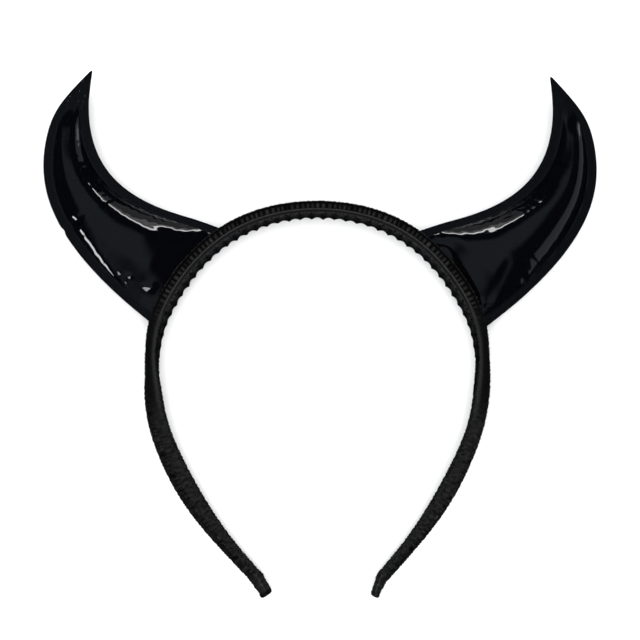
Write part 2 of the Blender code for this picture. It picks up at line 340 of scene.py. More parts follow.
def linear(hex_colour: str) -> tuple[float, float, float, float]:
    """Turns an sRGB hex colour into linear RGBA.

    Args:
        hex_colour: such as "#1c1c1e".

    Returns:
        Red, green, blue and an alpha of 1.
    """
    parts = [int(hex_colour[i : i + 2], 16) / 255 for i in (1, 3, 5)]
    red, green, blue = (c / 12.92 if c <= 0.04045 else ((c + 0.055) / 1.055) ** 2.4 for c in parts)
    return red, green, blue, 1.0


class ShaderGraph:
    """A node tree, with short ways to add what the finishes and the room use."""

    def __init__(self, tree: bpy.types.NodeTree) -> None:
        """Keeps the tree that the nodes go into."""
        self.tree = tree

    def feed(self, node: bpy.types.Node, inputs: dict[str | int, object]) -> None:
        """Gives a node's sockets, by name or index, a value or another node's output."""
        for name, value in inputs.items():
            if isinstance(value, bpy.types.NodeSocket):
                self.tree.links.new(value, node.inputs[name])
            else:
                node.inputs[name].default_value = value

    def add(
        self,
        kind: str,
        settings: dict[str, object] | None = None,
        inputs: dict[str | int, object] | None = None,
    ) -> bpy.types.Node:
        """Adds a node.

        Args:
            kind: the node's type, without its first word.
            settings: attributes of the node.
            inputs: a value or another node's output for each socket, by name or index.

        Returns:
            The new node.
        """
        node = self.tree.nodes.new(f"ShaderNode{kind}")
        for name, value in (settings or {}).items():
            setattr(node, name, value)
        self.feed(node, inputs or {})
        return node

    def coordinates(self, kind: str) -> bpy.types.NodeSocket:
        """Texture coordinates of one kind."""
        return self.add("TexCoord").outputs[kind]

    def attribute(self, name: str) -> bpy.types.NodeSocket:
        """A number that the piece's points keep."""
        return self.add("Attribute", {"attribute_name": name}).outputs["Fac"]

    def noise(
        self, place: bpy.types.NodeSocket, size: float, detail: float, roughness: float = 0.5
    ) -> bpy.types.NodeSocket:
        """Soft noise of a grain size, from 0 to 1."""
        inputs = {"Vector": place, "Scale": 1 / size, "Detail": detail, "Roughness": roughness}
        return self.add("TexNoise", inputs=inputs).outputs["Fac"]

    def maths(
        self, operation: str, first: object, second: object, clamp: bool = False
    ) -> bpy.types.NodeSocket:
        """What an operation makes of two numbers."""
        settings = {"operation": operation, "use_clamp": clamp}
        return self.add("Math", settings, {0: first, 1: second}).outputs[0]

    def spread(
        self,
        value: bpy.types.NodeSocket,
        given: tuple[float, float],
        wanted: tuple[float, float],
        smooth: bool = False,
    ) -> bpy.types.NodeSocket:
        """A number mapped from the range that it has to the one that is wanted."""
        inputs = {"Value": value, "From Min": given[0], "From Max": given[1]}
        inputs |= {"To Min": wanted[0], "To Max": wanted[1]}
        settings = {"interpolation_type": "SMOOTHSTEP" if smooth else "LINEAR"}
        return self.add("MapRange", settings, inputs).outputs["Result"]

    def blend(self, share: bpy.types.NodeSocket, low: str, high: str) -> bpy.types.NodeSocket:
        """A colour between two hex colours."""
        inputs = {"Factor": share, 6: linear(low), 7: linear(high)}
        return self.add("Mix", {"data_type": "RGBA"}, inputs).outputs[2]

    def bump(
        self, height: bpy.types.NodeSocket, distance: float, strength: object = 1.0
    ) -> bpy.types.NodeSocket:
        """Normals bent by a height from 0 to 1, which stands for a distance."""
        inputs = {"Height": height, "Distance": distance, "Strength": strength}
        return self.add("Bump", inputs=inputs).outputs["Normal"]


class Finish:
    """A real surface. Each kind says what its shader's sockets are given."""

    def _inputs(self, graph: ShaderGraph) -> dict[str, object]:
        """The sockets' values and links."""
        raise NotImplementedError

    def build(self, name: str) -> bpy.types.Material:
        """Makes the material.

        Args:
            name: the material's name, after the real finish.

        Returns:
            The material.
        """
        material = bpy.data.materials.new(name)
        material.use_nodes = True
        graph = ShaderGraph(material.node_tree)
        graph.feed(graph.tree.nodes["Principled BSDF"], self._inputs(graph))
        return material


@dataclass(frozen=True)
class GrosgrainRibbon(Finish):
    """Woven polyester grosgrain: matte black, with fine cross ribs. Its colour carries painted light and
    shade: painted highlights on the ribs, ridges and wrinkles, painted shade in the folds.
    """

    # shade and lit: the colours of painted shade and painted light
    shade: str = "#020202"
    lit: str = "#363637"
    roughness: float = 0.9
    specular: float = 0.05
    rib_pitch: float = 0.8 * MM
    rib_height: float = 0.06 * MM
    rib_sharpness: float = 0.8
    rib_waver: float = 0.6
    rib_contrast: float = 0.30
    grain_range: tuple[float, float] = (0.3, 1.7)
    fibre_size: float = 0.35 * MM
    wrinkle_size: tuple[float, float] = (1.1 * MM, 3.2 * MM)
    wrinkle_range: tuple[float, float] = (0.36, 0.66)
    wrinkle_contrast: float = 0.7

    def _inputs(self, graph: ShaderGraph) -> dict[str, object]:
        """Reads the attributes tone and wrinkled, and the ribbon's UV map; the colour mixes painted
        light and shade from them.
        """
        uv = graph.coordinates("UV")
        bands = {"wave_type": "BANDS", "bands_direction": "X", "wave_profile": "SIN"}
        pitch = {"Scale": math.pi / 10 / self.rib_pitch, "Distortion": self.rib_waver, "Detail": 1.0}
        ribs = graph.add("TexWave", bands, {"Vector": uv, **pitch}).outputs["Fac"]
        fibres = graph.noise(uv, self.fibre_size, detail=3.0, roughness=0.6)
        grain = graph.maths("ADD", ribs, fibres)
        # painted highlight on the cross ribs: the colour is lighter on each rib and darker between them
        catch = graph.spread(grain, self.grain_range, (1 - self.rib_contrast, 1 + self.rib_contrast))
        along, across = self.wrinkle_size
        stretched = graph.add("Mapping", inputs={"Vector": uv, "Scale": (1 / along, 1 / across, 1.0)})
        folds = graph.noise(stretched.outputs["Vector"], size=1.0, detail=2.0)
        contrast = 1 - self.wrinkle_contrast, 1 + self.wrinkle_contrast
        # painted light and shade of the wrinkles, in uneven light and dark patches
        wrinkle_light_and_shade = graph.spread(folds, self.wrinkle_range, contrast)
        parts = {"Factor": graph.attribute("wrinkled"), 2: 1.0, 3: wrinkle_light_and_shade}
        lighter = graph.add("Mix", {"data_type": "FLOAT"}, parts).outputs[0]
        caught = graph.maths("MULTIPLY", lighter, catch)
        # how far the colour goes from painted shade to painted light
        share = graph.maths("MULTIPLY", graph.attribute("tone"), caught, clamp=True)
        return {
            "Base Color": graph.blend(share, self.shade, self.lit),
            "Normal": graph.bump(grain, self.rib_height, self.rib_sharpness),
            "Roughness": self.roughness,
            "Specular IOR Level": self.specular,
        }


@dataclass(frozen=True)
class SatinLining(Finish):
    """Polyester satin pressed over comb teeth: near black, with its soft shine painted as a highlight on
    the raised edges.
    """

    # shade and lit: the colours of painted shade and painted light
    shade: str = "#030303"
    lit: str = "#2a2a2b"
    roughness: float = 0.75
    specular: float = 0.12
    thread_size: float = 0.3 * MM
    thread_height: float = 0.03 * MM
    thread_sharpness: float = 0.7

    def _inputs(self, graph: ShaderGraph) -> dict[str, object]:
        """Reads the attribute tone, the satin's painted light and shade, and the strip's own UV map."""
        threads = graph.noise(graph.coordinates("UV"), self.thread_size, detail=2.0)
        return {
            # painted light and shade: from the shade colour to the lit colour by tone
            "Base Color": graph.blend(graph.attribute("tone"), self.shade, self.lit),
            "Normal": graph.bump(threads, self.thread_height, self.thread_sharpness),
            "Roughness": self.roughness,
            "Specular IOR Level": self.specular,
        }


@dataclass(frozen=True)
class PatentVinyl(Finish):
    """Coated PVC on cloth: black with a wet gloss, duller where the two sheets are bonded.

    What comes in pairs is first for the gloss and then for the bonded border.
    """

    colour: str = "#030304"
    speck_colour: str = "#6c6c6e"
    roughness: tuple[float, float] = (0.06, 0.26)
    specular: tuple[float, float] = (0.5, 0.30)
    coat: tuple[float, float] = (0.5, 0.1)
    peel: tuple[float, float] = (0.5, 1.0)
    coat_roughness: float = 0.04
    ior: float = 1.52
    peel_size: float = 1.4 * MM
    peel_height: float = 0.010 * MM
    speck_spacing: float = 1.5 * MM
    speck_share: float = 0.075

    def _inputs(self, graph: ShaderGraph) -> dict[str, object]:
        """Reads the attributes bonded and tip, and object coordinates."""
        place = graph.coordinates("Object")
        cells = graph.add("TexVoronoi", inputs={"Vector": place, "Scale": 1 / self.speck_spacing})
        near = graph.maths("LESS_THAN", cells.outputs["Distance"], self.speck_share)
        speck = graph.maths("MULTIPLY", near, graph.attribute("tip"))
        waves = graph.noise(place, self.peel_size, detail=4.0)
        bonded = graph.attribute("bonded")
        pairs = (self.roughness, self.specular, self.coat, self.peel)
        roughness, specular, coat, peel = (graph.spread(bonded, (0.0, 1.0), pair) for pair in pairs)
        return {
            "Base Color": graph.blend(speck, self.colour, self.speck_colour),
            "Normal": graph.bump(waves, self.peel_height, peel),
            "Roughness": roughness,
            "Specular IOR Level": specular,
            "Coat Weight": coat,
            "Coat Roughness": self.coat_roughness,
            "IOR": self.ior,
        }


@dataclass(frozen=True)
class PolyesterFibre(Finish):
    """Loose polyester stuffing: off-white, crimped and soft, with no gloss, and painted shade in the
    tufts' hollows with a painted highlight on their crests.
    """

    # the colours of the painted shade in hollows and the painted highlight on crests
    hollow_shade: str = "#b9b8b2"
    crest_highlight: str = "#efeee9"
    roughness: float = 0.95
    sheen: float = 0.5
    tuft_size: float = 2.5 * MM
    tuft_height: float = 0.4 * MM

    def _inputs(self, graph: ShaderGraph) -> dict[str, object]:
        """Reads object coordinates."""
        tufts = graph.noise(graph.coordinates("Object"), self.tuft_size, detail=6.0, roughness=0.7)
        return {
            # painted shade and highlight: darker where the tufts' bump is low, lighter where it is high
            "Base Color": graph.blend(tufts, self.hollow_shade, self.crest_highlight),
            "Normal": graph.bump(tufts, self.tuft_height),
            "Roughness": self.roughness,
            "Sheen Weight": self.sheen,
        }


@dataclass(frozen=True)
class BackdropPaper(Finish):
    """Matte seamless studio paper."""

    colour: str = "#f4f4f3"
    roughness: float = 0.95

    def _inputs(self, graph: ShaderGraph) -> dict[str, object]:
        """Has one colour throughout."""
        return {"Base Color": linear(self.colour), "Roughness": self.roughness}


@dataclass(frozen=True)
class HoopSection:
    """One section of the hoop.

    across is a share of the half width, up of the crown's rise or (below zero) of the
    legs' drop, thickness and depth of the band's, twist and spread of each leg's own,
    and end_twist of the turn that both legs share.
    """

    across: float
    up: float
    thickness: float
    depth: float
    twist: float = 0.0
    end_twist: float = 0.0
    spread: float = 0.0


@dataclass(frozen=True)
class Leg:
    """What is its own in each leg: its twist and how far out its end stands."""

    twist: float
    spread: float


@dataclass(frozen=True)
class Stations:
    """Sections of the hoop at many distances: places, axes and sizes, a row for each."""

    middle: np.ndarray
    outward: np.ndarray
    through: np.ndarray
    thickness: np.ndarray
    depth: np.ndarray

    def points(self, reach: np.ndarray, height: np.ndarray) -> np.ndarray:
        """Points that lie so far outward, and so far to the front, of the middles."""
        return self.middle + self.outward * reach[:, None] + self.through * height[:, None]


@dataclass
class Hoop:
    """The line that the band follows, read at any distance from the crown."""

    half_width: float = 0.0645
    crown_rise: float = 0.0672
    leg_drop: float = 0.0772
    thickness: float = 0.0064
    depth: float = 0.0110
    end_twist: float = math.radians(22.0)
    fineness: int = 1600
    legs: dict[Side, Leg] = field(
        default_factory=lambda: {
            Side.LEFT: Leg(math.radians(20.0), -0.0008),
            Side.RIGHT: Leg(math.radians(9.0), 0.0008),
        }
    )
    sections: tuple[HoopSection, ...] = (
        HoopSection(0.000, 1.000, 0.72, 1.00),
        HoopSection(0.524, 0.872, 0.81, 1.00),
        HoopSection(0.850, 0.571, 0.83, 1.00),
        HoopSection(0.978, 0.309, 0.79, 0.98),
        HoopSection(0.999, 0.137, 0.72, 0.96),
        HoopSection(0.995, -0.040, 0.94, 0.93, 0.4),
        HoopSection(0.963, -0.215, 0.95, 0.90, 0.8),
        HoopSection(0.876, -0.410, 0.99, 0.86, 1.0),
        HoopSection(0.750, -0.606, 0.93, 0.80, 0.9, 0.2, 0.2),
        HoopSection(0.577, -0.808, 0.64, 0.70, 0.6, 0.6, 0.6),
        HoopSection(0.377, -1.000, 0.44, 0.60, 0.4, 1.0, 1.0),
    )

    def __post_init__(self) -> None:
        """Draws the hoop's curves finely, once."""
        rows = [self._placed(Side.LEFT, row) for row in reversed(self.sections)]
        rows += [self._placed(Side.RIGHT, row) for row in self.sections[1:]]
        table = np.array(rows)
        gaps = np.hypot(*np.diff(table[:, :2], axis=0).T)
        knots = np.concatenate(([0.0], np.cumsum(gaps)))
        dense = np.linspace(0.0, knots[-1], self.fineness)
        *smooth, twist = table.T
        self._columns = [natural_spline(knots, column, dense) for column in smooth]
        self._columns.append(np.interp(dense, knots, twist))
        x, y = self._columns[:2]
        run = np.concatenate(([0.0], np.cumsum(np.hypot(np.diff(x), np.diff(y)))))
        self._run = run - np.interp(0.0, x, run)

    def _placed(self, side: Side, row: HoopSection) -> tuple[float, ...]:
        """A section's place, sizes and twist on one side."""
        rise = self.crown_rise if row.up > 0 else self.leg_drop
        leg = self.legs[side]
        return (
            side.sign * (row.across * self.half_width + row.spread * leg.spread),
            row.up * rise,
            row.thickness * self.thickness,
            row.depth * self.depth,
            row.twist * leg.twist + row.end_twist * self.end_twist,
        )

    @property
    def first(self) -> float:
        """The left end's distance from the crown, below zero."""
        return float(self._run[0])

    @property
    def last(self) -> float:
        """The right end's distance from the crown."""
        return float(self._run[-1])

    def end(self, side: Side) -> float:
        """One end's distance from the crown."""
        return self.first if side is Side.LEFT else self.last

    def stations(self, distance: np.ndarray | float) -> Stations:
        """Reads the hoop.

        Args:
            distance: distances along it from the crown, negative to the left.

        Returns:
            The sections there.
        """
        at = np.atleast_1d(np.asarray(distance, float))
        x, y, thickness, depth, twist = (np.interp(at, self._run, c) for c in self._columns)
        step = 1.0 * MM
        ahead, behind = (
            np.column_stack([np.interp(at + d, self._run, c) for c in self._columns[:2]])
            for d in (step, -step)
        )
        along = ahead - behind
        along /= np.linalg.norm(along, axis=1)[:, None]
        square = np.column_stack((-along[:, 1], along[:, 0], np.zeros(len(at))))
        front = np.array((0.0, 0.0, 1.0))
        cos, sin = np.cos(twist)[:, None], np.sin(twist)[:, None]
        middle = np.column_stack((x, y, np.zeros(len(at))))
        return Stations(middle, square * cos + front * sin, front * cos - square * sin, thickness, depth)

    def outer(self, distance: np.ndarray | float, gap: float) -> np.ndarray:
        """Points clear of the band's outer face by a gap.

        Args:
            distance: distances along the hoop from the crown.
            gap: how far outside the face.

        Returns:
            The points, in the headband's plane.
        """
        found = self.stations(distance)
        flat = found.outward * np.array((1.0, 1.0, 0.0))
        flat /= np.linalg.norm(flat, axis=1)[:, None]
        return found.middle + flat * (found.thickness / 2 + gap)[:, None]


class Ring:
    """A closed section: the lines of its front half, and the same ones mirrored behind."""

    def __init__(self, rows: tuple[object, ...]) -> None:
        """Mirrors the front half to the back."""
        self._rows = [*rows, *reversed(rows[1:-1])]
        self._signs = np.array([1.0] * len(rows) + [-1.0] * (len(rows) - 2))

    def __len__(self) -> int:
        """How many lines there are all round."""
        return len(self._rows)

    def column(self, name: str, across: np.ndarray) -> np.ndarray:
        """One column of the rows, for places round the ring."""
        return np.array([getattr(row, name) for row in self._rows])[across.astype(int) % len(self)]

    def sign(self, across: np.ndarray) -> np.ndarray:
        """1 on the front half and -1 on the back, for places round the ring."""
        return self._signs[across.astype(int) % len(self)]


@dataclass(frozen=True)
class FoldRow:
    """A lengthwise line of the ribbon on half of the band's section.

    out is a share of the band's thickness from its middle, front a share of half its
    depth; lift is in mm, over the crown; crown, temple and leg are the line's painted
    light and shade in each stretch, from 0 for painted shade to 1 for painted highlight;
    rib is how much of the cross ribs, in shape and in painted highlight, it carries over
    the crown, and edge how much of the picots, in shape and in the painted shade between them.
    """

    out: float
    front: float
    lift: float
    crown: float
    temple: float
    leg: float
    rib: float = 0.0
    edge: float = 0.0


@dataclass
class WoundBand:
    """The stiff hoop in its wound grosgrain ribbon."""

    hoop: Hoop
    step: float = 0.25 * MM
    rib_pitch: float = 2.0 * MM
    rib_height: float = 0.24 * MM
    rib_steepness: float = 2.2
    rib_drift: float = 0.25
    rib_drift_pitches: tuple[float, ...] = (11 * MM, 23 * MM)
    picot_pitch: float = 1.6 * MM
    picot_height: float = 0.26 * MM
    picot_steepness: float = 1.8
    picot_fullness: float = 0.5
    picot_sink: float = 0.1
    picot_drift: float = 0.8
    picot_drift_pitches: tuple[float, ...] = (5 * MM, 8 * MM, 19 * MM)
    wrinkle_pitches: tuple[float, ...] = (1.15 * MM, 1.7 * MM, 2.6 * MM)
    wrinkle_height: float = 0.13 * MM
    wrinkle_slant: float = 0.35
    least_wrinkled: float = 0.25
    # how light the cross ribs are painted: a painted highlight on each rib, uneven along the crown
    rib_light: float = 0.65
    rib_light_drift: float = 0.55
    rib_light_pitches: tuple[float, ...] = (5 * MM, 9 * MM, 23 * MM)
    least_rib_light: float = 0.1
    # painted shade in the gaps between the picots, near both edges, away from the crown
    tick_range: tuple[float, float] = (0.24, 0.40)
    tick_depth: float = 0.9
    crown_end: float = 0.070
    temple_start: float = 0.086
    temple_end: float = 0.108
    leg_start: float = 0.128
    # the crown, temple and leg columns are painted light and shade
    rows: tuple[FoldRow, ...] = (
        FoldRow(-0.500, 0.00, 0.00, 0.10, 0.15, 0.20),
        FoldRow(-0.500, 0.40, 0.00, 0.10, 0.15, 0.20),
        FoldRow(-0.500, 0.78, 0.00, 0.10, 0.08, 0.12),
        FoldRow(-0.495, 0.93, 0.00, 0.20, 0.02, 0.06, 0.0, 1.0),
        FoldRow(-0.480, 0.98, 0.04, 0.50, 0.03, 0.10, 0.0, 1.0),
        FoldRow(-0.450, 1.00, 0.10, 0.75, 0.06, 0.16, 0.0, 0.9),
        FoldRow(-0.420, 1.00, 0.00, 0.40, 0.10, 0.20, 0.0, 0.5),
        FoldRow(-0.385, 1.00, -0.08, 0.20, 0.16, 0.21),
        FoldRow(-0.335, 1.00, -0.12, 0.20, 0.28, 0.21),
        FoldRow(-0.305, 1.00, -0.22, 0.04, 0.32, 0.21),
        FoldRow(-0.270, 1.00, -0.12, 0.20, 0.40, 0.22),
        FoldRow(-0.230, 1.00, -0.04, 0.18, 0.40, 0.22),
        FoldRow(-0.195, 1.00, 0.12, 0.50, 0.38, 0.22),
        FoldRow(-0.165, 1.00, 0.20, 0.90, 0.33, 0.22),
        FoldRow(-0.140, 1.00, 0.12, 0.62, 0.31, 0.21),
        FoldRow(-0.110, 1.00, 0.00, 0.14, 0.28, 0.21, 0.2),
        FoldRow(-0.060, 1.00, 0.10, 0.30, 0.16, 0.21, 0.9),
        FoldRow(0.000, 1.00, 0.16, 0.42, 0.08, 0.21, 1.0),
        FoldRow(0.070, 1.00, 0.18, 0.44, 0.05, 0.20, 1.0),
        FoldRow(0.140, 1.00, 0.16, 0.42, 0.04, 0.20, 1.0),
        FoldRow(0.220, 1.00, 0.10, 0.34, 0.04, 0.20, 1.0),
        FoldRow(0.285, 1.00, -0.02, 0.20, 0.04, 0.20, 0.9),
        FoldRow(0.320, 1.00, -0.20, 0.02, 0.04, 0.20, 0.3),
        FoldRow(0.365, 1.00, -0.26, 0.00, 0.08, 0.20),
        FoldRow(0.405, 1.00, -0.14, 0.02, 0.08, 0.24, 0.0, 0.3),
        FoldRow(0.440, 1.00, 0.02, 0.18, 0.10, 0.32, 0.0, 0.6),
        FoldRow(0.470, 0.98, 0.08, 0.34, 0.12, 0.42, 0.0, 0.9),
        FoldRow(0.495, 0.93, 0.04, 0.20, 0.10, 0.34, 0.0, 0.9),
        FoldRow(0.500, 0.80, 0.00, 0.22, 0.12, 0.22, 0.0, 0.3),
        FoldRow(0.500, 0.55, 0.00, 0.28, 0.15, 0.19),
        FoldRow(0.500, 0.28, 0.00, 0.28, 0.15, 0.19),
        FoldRow(0.500, 0.00, 0.00, 0.28, 0.15, 0.19),
    )

    def __post_init__(self) -> None:
        """Closes the section and counts the grid's cells."""
        self._ring = Ring(self.rows)
        self._length = self.hoop.last - self.hoop.first
        self._cells = round(self._length / self.step), len(self._ring)

    def _ribs(self, run: np.ndarray) -> np.ndarray:
        """The cross ribs over the crown, from 0 between them to 1 on top."""
        drift = self.rib_drift * ripple(run, self.rib_drift_pitches, phase=1.3)
        wave = np.sin(2 * np.pi * (run / self.rib_pitch + drift))
        return 0.5 + 0.5 * np.tanh(self.rib_steepness * wave)

    def _picots(self, run: np.ndarray) -> np.ndarray:
        """The small loops along the ribbon's edges, from 0 between them to 1 on top."""
        drift = self.picot_drift * ripple(run, self.picot_drift_pitches, phase=0.9)
        wave = np.cos(2 * np.pi * (run / self.picot_pitch + drift))
        return 0.5 + 0.5 * np.tanh(self.picot_steepness * wave + self.picot_fullness)

    def _crown_share(self, run: np.ndarray) -> np.ndarray:
        """How far a place belongs to the crown."""
        return 1 - fade(np.abs(run), self.crown_end, self.temple_start)

    def _leg_share(self, run: np.ndarray) -> np.ndarray:
        """How far a place belongs to a leg."""
        return fade(np.abs(run), self.temple_end, self.leg_start)

    def _run(self, along: np.ndarray) -> np.ndarray:
        """The distance from the crown of places counted in cells."""
        return self.hoop.first + along / self._cells[0] * self._length

    def surface(self, along: np.ndarray, across: np.ndarray) -> np.ndarray:
        """The ribbon's points in the headband's plane, for places in cells."""
        run = self._run(along)
        found = self.hoop.stations(run)
        out, front, rib, edge, lift = (
            self._ring.column(name, across) for name in ("out", "front", "rib", "edge", "lift")
        )
        ribs = rib * self.rib_height * (self._ribs(run) - 0.5)
        slant = self.wrinkle_slant * out * self.hoop.thickness
        wrinkles = self.wrinkle_height * ripple(run + slant, self.wrinkle_pitches, phase=2.1)
        raised = self._crown_share(run) * (MM * lift + ribs) + self._leg_share(run) * wrinkles
        picots = edge * self.picot_height * (self._picots(run) - self.picot_sink)
        height = front * found.depth / 2 + raised * front**LIFT_FALLOFF
        reach = out * found.thickness + np.sign(out) * picots
        return found.points(reach, self._ring.sign(across) * height)

    def tone(self, along: np.ndarray, across: np.ndarray) -> np.ndarray:
        """The ribbon's painted light and shade, from 0, painted shade in its folds, to 1, a painted
        highlight on its ridges.
        """
        run = self._run(along)
        crown, leg, picots = self._crown_share(run), self._leg_share(run), self._picots(run)
        drift = self.rib_light_drift * ripple(run, self.rib_light_pitches, phase=0.4)
        # painted highlight on the rib tops
        ribs = self._ribs(run) * np.maximum(self.rib_light + drift, self.least_rib_light)
        tone = crown * self._ring.column("crown", across)
        tone *= 1 - self._ring.column("rib", across) * (1 - ribs)
        tone += leg * self._ring.column("leg", across)
        tone += (1 - crown - leg) * self._ring.column("temple", across)
        # painted shade between the picots, on the edge lines and as ticks near both edges
        tone *= 1 - self._ring.column("edge", across) * (1 - picots)
        ticks = fade(np.abs(self._ring.column("out", across)), *self.tick_range) * (1 - picots)
        return np.clip(tone * (1 - self.tick_depth * (1 - crown) * ticks), 0.0, 1.0)

    def wrinkled(self, along: np.ndarray, across: np.ndarray) -> np.ndarray:
        """How much painted wrinkle light and shade the ribbon carries, up to 1 on the legs."""
        least = self.least_wrinkled
        return least + (1 - least) * self._leg_share(self._run(along))

    def build(self) -> None:
        """Makes the ribbon round the band."""
        cloth = self._length, 2 * (self.hoop.thickness + self.hoop.depth)
        piece = rolled_grid(
            "band_ribbon",
            self._cells,
            self.surface,
            cloth,
            degrees=70.0,
            tone=self.tone,
            wrinkled=self.wrinkled,
        )
        settle(piece, GrosgrainRibbon().build("black_grosgrain_ribbon"), "ribbon", "band")


@dataclass(frozen=True)
class LiningRow:
    """A lengthwise line of the lining on half of its section.

    inward is a share of its thickness from the band towards the head, front a share
    of half its depth, lift in mm, and tone the line's painted light and
    shade, from 0 for painted shade to 1 for painted highlight.
    """

    inward: float
    front: float
    lift: float
    tone: float


@dataclass
class CombLining:
    """The satin strip inside the crown, pushed into points by the teeth under it."""

    hoop: Hoop
    half_length: float = 0.0964
    taper: float = 0.0240
    end_share: float = 0.15
    gap: float = 0.12 * MM
    thickness: float = 1.15 * MM
    tooth_height: float = 0.80 * MM
    tooth_pitch: float = 4.7 * MM
    tooth_cells: int = 16
    edge_inset: float = 0.55 * MM
    tuck_depth: float = 0.12 * MM
    tuck_pitches: tuple[float, ...] = (7 * MM, 17 * MM)
    unevenness: float = 0.25
    uneven_pitches: tuple[float, ...] = (13 * MM, 31 * MM)
    # painted highlight between the teeth's points, painted shade at the points
    tick_tone: float = 0.55
    tick_swing: float = 0.45
    # the last column is each line's painted light and shade
    rows: tuple[LiningRow, ...] = (
        LiningRow(0.00, 0.00, 0.00, 0.0),
        LiningRow(0.00, 0.60, 0.00, 0.0),
        LiningRow(0.00, 0.93, 0.00, 0.3),
        LiningRow(0.05, 1.00, 0.18, 0.8),
        LiningRow(0.13, 1.00, 0.32, 1.0),
        LiningRow(0.22, 1.00, 0.22, 0.8),
        LiningRow(0.30, 1.00, 0.02, 0.25),
        LiningRow(0.42, 1.00, -0.08, 0.20),
        LiningRow(0.56, 1.00, -0.04, 0.38),
        LiningRow(0.70, 1.00, -0.08, 0.34),
        LiningRow(0.84, 0.99, -0.22, 0.12),
        LiningRow(0.95, 0.96, -0.22, 0.02),
        LiningRow(1.00, 0.90, -0.10, 0.0),
        LiningRow(1.00, 0.72, 0.00, 0.2),
        LiningRow(1.00, 0.45, 0.00, 0.3),
        LiningRow(1.00, 0.20, 0.00, 0.3),
        LiningRow(1.00, 0.00, 0.00, 0.3),
    )

    def __post_init__(self) -> None:
        """Closes the section and counts the grid's cells."""
        self._ring = Ring(self.rows)
        teeth = round(2 * self.half_length / self.tooth_pitch)
        self._cells = teeth * self.tooth_cells, len(self._ring)

    def surface(self, along: np.ndarray, across: np.ndarray) -> np.ndarray:
        """The strip's points in the headband's plane, for places in cells."""
        run = (2 * along / self._cells[0] - 1) * self.half_length
        found = self.hoop.stations(run)
        turn = np.pi * along / self.tooth_cells
        point = 1 - np.abs(np.sin(turn))
        inward, front, lift = (
            self._ring.column(name, across) for name in ("inward", "front", "lift")
        )
        uneven = 1 + self.unevenness * ripple(run, self.uneven_pitches, phase=0.7)
        from_end = np.clip((self.half_length - np.abs(run)) / self.taper, 0.0, 1.0)
        left = self.end_share + (1 - self.end_share) * from_end
        thick = left * (self.thickness + self.tooth_height * point * uneven)
        tucks = self.tuck_depth * inward * np.cos(2 * turn)
        tucks *= ripple(run, self.tuck_pitches, phase=2.0)
        height = front * (found.depth / 2 - self.edge_inset)
        height += (MM * lift - tucks) * front**LIFT_FALLOFF
        reach = -(found.thickness / 2 + self.gap + inward * thick)
        return found.points(reach, self._ring.sign(across) * height)

    def tone(self, along: np.ndarray, across: np.ndarray) -> np.ndarray:
        """The satin's painted light and shade: a painted highlight between the points, on the raised
        edges, and painted shade at the points.
        """
        ticks = self.tick_tone - self.tick_swing * np.cos(2 * np.pi * along / self.tooth_cells)
        return self._ring.column("tone", across) * ticks

    def build(self) -> None:
        """Makes the lining."""
        cloth = 2 * self.half_length, 2 * self.hoop.depth
        piece = rolled_grid(
            "comb_lining", self._cells, self.surface, cloth, degrees=60.0, tone=self.tone
        )
        settle(piece, SatinLining().build("black_satin_lining"), "lining", "band_lining")


@dataclass(frozen=True)
class TipRow:
    """A section of a leg's wrapped end.

    along is a share of its length from the leg's end, thickness and depth of its own
    sizes, and lean a share of its thickness, sideways.
    """

    along: float
    thickness: float
    depth: float
    lean: float


